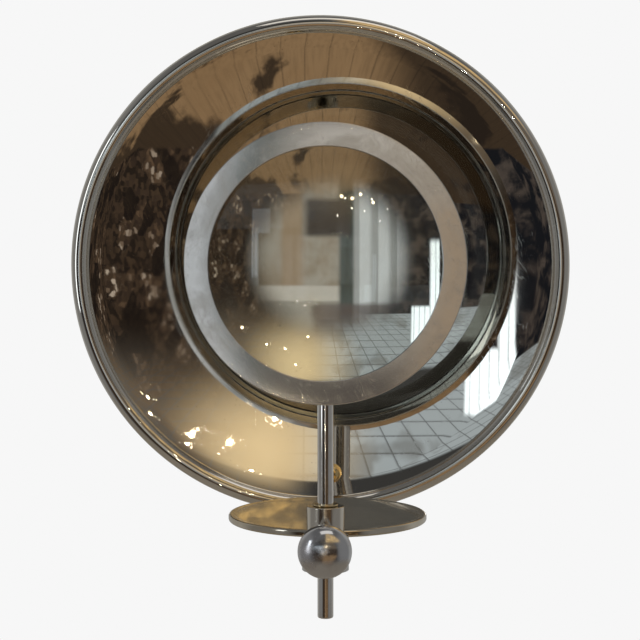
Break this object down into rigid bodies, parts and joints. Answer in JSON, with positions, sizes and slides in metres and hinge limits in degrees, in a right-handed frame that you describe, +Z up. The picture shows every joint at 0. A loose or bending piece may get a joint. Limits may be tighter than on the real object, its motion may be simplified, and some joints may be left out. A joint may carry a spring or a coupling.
{
  "type": "extendable shaving mirror",
  "caption": "Wall-hung polished mirror dish with a round magnifying lens on a rod that slides and turns in a knob-locked clamp, and a small round tray.",
  "frame": {"origin": "on the wall face of the wall bar, on the vertical line of the arm, at the height of the dish's centre", "axes": "+Y into the wall, +Z up, the dish and the lens face -Y"},
  "size_m": [0.3398, 0.2257, 0.3759],
  "materials": {
    "mirror_nickel": "polished, slightly warm, fine swirl marks",
    "tray_nickel": "polished, turned with faint circular lines",
    "warm_nickel": "polished, worn",
    "chrome": "polished",
    "satin_steel": "satin, brushed round, scratched",
    "pewter": "polished, scuffed",
    "brass": "polished",
    "dark_steel": "blackened",
    "rubber": "matte",
    "lens_glass": "clear, polished, faintly green at the rim"
  },
  "bodies": {
    "base": {"wall_bar": "dark_steel", "dish_hub": "brass", "hub_screw": "dark_steel", "dish": "mirror_nickel", "rim_wire": "dark_steel", "dish_spacer": "brass", "dome_washer": "brass", "dome_screw": "brass", "arm": "satin_steel", "arm_screw_left": "dark_steel", "arm_screw_right": "dark_steel", "tray": "tray_nickel", "tray_pillar": "satin_steel", "tray_screw": "dark_steel", "clamp_body": "warm_nickel", "clamp_ring_nut": "dark_steel"},
    "liner": {"clamp_liner": "brass"},
    "lens": {"lens_rod": "chrome", "lens_ring": "satin_steel", "lens_gasket": "rubber", "lens_glass": "lens_glass", "lens_retaining_ring": "dark_steel"},
    "pad": {"knob_pad": "brass"},
    "knob": {"knob_head": "pewter", "knob_stud": "dark_steel"}
  },
  "joints": [
    {"name": "lens_swivel", "type": "hinge", "parent": "base", "child": "liner", "pos_m": [0, -0.192, -0.15], "axis": [0, 0, 1], "continuous": true},
    {"name": "rod_slide", "type": "slide", "parent": "liner", "child": "lens", "axis": [0, 0, 1], "range_m": [-0.055, 0.02]},
    {"name": "knob_feed", "type": "slide", "parent": "base", "child": "pad", "axis": [0, -1, 0], "range_m": [0, 0.0008]},
    {"name": "knob_turn", "type": "hinge", "parent": "pad", "child": "knob", "pos_m": [0, -0.21, -0.1623], "axis": [0, -1, 0], "range_deg": [0, 360.4]}
  ],
  "couplings": [
    {"joint": "knob_turn", "follows": "knob_feed", "rad_per_m": 7854}
  ]
}
